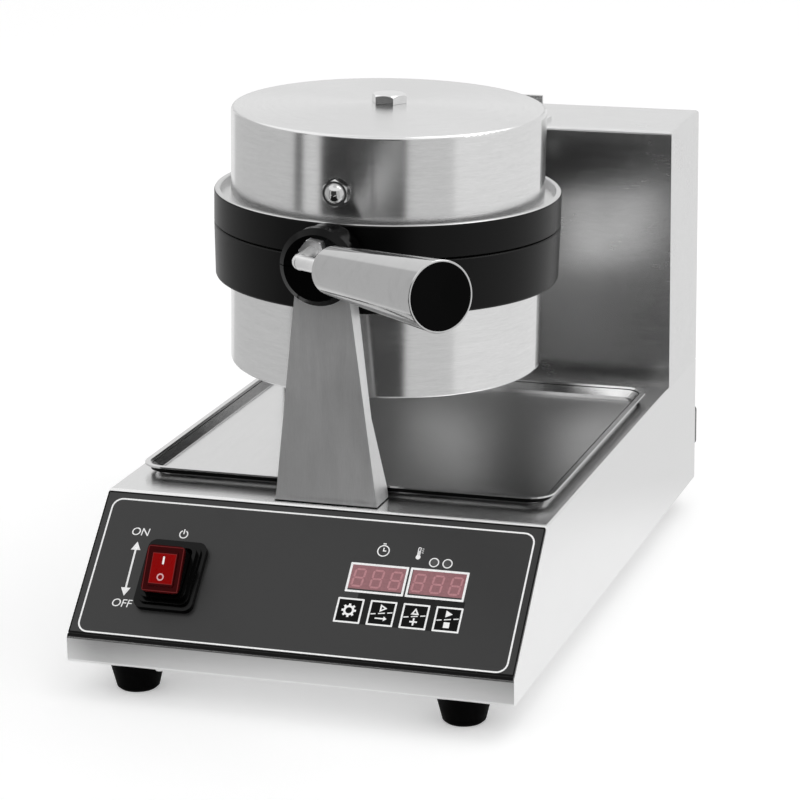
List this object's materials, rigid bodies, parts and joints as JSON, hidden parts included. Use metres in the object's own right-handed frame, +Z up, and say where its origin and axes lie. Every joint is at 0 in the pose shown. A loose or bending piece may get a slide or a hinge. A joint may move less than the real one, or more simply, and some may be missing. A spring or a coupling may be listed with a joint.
{
  "type": "rotating waffle cone maker",
  "caption": "Counter-top waffle cone baker: a round twin mould that flips in a front post and rear column, on a steel base with a sloping panel and drip tray.",
  "frame": {"origin": "on the table, under the middle of the whole machine's bounding box", "axes": "+X to the right seen from the panel, +Y from the panel to the column, +Z up; the mould turns about an axis along Y"},
  "size_m": [0.26, 0.5346, 0.313],
  "materials": {
    "housing_steel": "fine brushed stainless sheet, soft satin",
    "screw_steel": "bright zinc",
    "bracket_steel": "satin stainless",
    "foot_rubber": "matte black",
    "cast_alloy": "machined casting",
    "ring_enamel": "black heat-proof satin coat",
    "cover_steel": "round-brushed stainless",
    "tray_steel": "bright rolled stainless",
    "chrome_trim": "polished",
    "black_plastic": "moulded black",
    "panel_film": "dark grey film with white print",
    "key_plastic": "dark grey film key",
    "red_lens": "clear deep red",
    "module_plastic": "pale housing",
    "contact_brass": "plain",
    "board_laminate": "green board",
    "core_steel": "varnished core",
    "heater_sheath": "heat-tinted tube",
    "wool_felt": "mineral wool"
  },
  "bodies": {
    "base": {"base_housing": "housing_steel", "base_plate": "housing_steel", "rubber_feet": "foot_rubber", "foot_screws": "screw_steel", "cover_screws": "screw_steel", "front_post": "bracket_steel", "column_cover": "housing_steel", "column_back": "housing_steel", "lid_rest": "bracket_steel", "bracket_screws": "screw_steel", "bearing_housing": "cast_alloy", "flip_stop": "bracket_steel", "cable_entry_plate": "black_plastic", "cable_gland": "black_plastic", "gland_nut": "black_plastic", "panel_overlay": "panel_film", "display_windows": "red_lens", "display_modules": "module_plastic", "indicator_lamps": "red_lens", "switch_housing": "black_plastic", "switch_terminals": "contact_brass", "key_switches": "black_plastic", "control_board": "board_laminate", "board_spacers": "contact_brass", "transformer": "core_steel", "power_relays": "module_plastic", "terminal_block": "module_plastic"},
    "mold_lower": {"lower_ring": "ring_enamel", "lower_plate": "cast_alloy", "lower_cover": "cover_steel", "lower_heater": "heater_sheath", "lower_clamp": "bracket_steel", "lower_probe": "screw_steel", "lower_insulation": "wool_felt", "lower_cap_nuts": "chrome_trim", "lower_bolt": "screw_steel", "lower_trunnion": "ring_enamel", "rear_shaft": "screw_steel", "shaft_collar": "cast_alloy", "hinge_pin": "screw_steel"},
    "mold_upper": {"upper_ring": "ring_enamel", "upper_plate": "cast_alloy", "upper_cover": "cover_steel", "upper_heater": "heater_sheath", "upper_clamp": "bracket_steel", "upper_probe": "screw_steel", "upper_insulation": "wool_felt", "upper_cap_nuts": "chrome_trim", "upper_bolt": "screw_steel", "upper_trunnion": "ring_enamel", "handle_rod": "chrome_trim", "handle_grip": "chrome_trim", "grip_cap": "black_plastic"},
    "power_rocker": {"rocker": "black_plastic", "rocker_lens": "red_lens"},
    "tray": {"drip_tray": "tray_steel"},
    "key_set_cap": {"key_set": "key_plastic"},
    "key_right_cap": {"key_right": "key_plastic"},
    "key_up_cap": {"key_up": "key_plastic"},
    "key_start_cap": {"key_start": "key_plastic"}
  },
  "joints": [
    {"name": "mold_flip", "type": "hinge", "parent": "base", "child": "mold_lower", "pos_m": [0, 0.00193, 0.2378], "axis": [0, 1, 0], "range_deg": [-180, 0]},
    {"name": "lid_open", "type": "hinge", "parent": "mold_lower", "child": "mold_upper", "pos_m": [0, 0.11293, 0.2378], "axis": [-0.9996, 0, 0.0279], "range_deg": [0, 80]},
    {"name": "rocker_tilt", "type": "hinge", "parent": "base", "child": "power_rocker", "pos_m": [-0.0775, -0.16262, 0.06656], "axis": [-1, 0, 0], "range_deg": [0, 28]},
    {"name": "tray_slide", "type": "slide", "parent": "base", "child": "tray", "axis": [1, 0, 0], "range_m": [0, 0.24]},
    {"name": "key_set_press", "type": "slide", "parent": "base", "child": "key_set_cap", "axis": [0, 0.6966, -0.7175], "range_m": [0, 0.0006], "stiffness_N_per_m": 600},
    {"name": "key_right_press", "type": "slide", "parent": "base", "child": "key_right_cap", "axis": [0, 0.6966, -0.7175], "range_m": [0, 0.0006], "stiffness_N_per_m": 600},
    {"name": "key_up_press", "type": "slide", "parent": "base", "child": "key_up_cap", "axis": [0, 0.6966, -0.7175], "range_m": [0, 0.0006], "stiffness_N_per_m": 600},
    {"name": "key_start_press", "type": "slide", "parent": "base", "child": "key_start_cap", "axis": [0, 0.6966, -0.7175], "range_m": [0, 0.0006], "stiffness_N_per_m": 600}
  ]
}
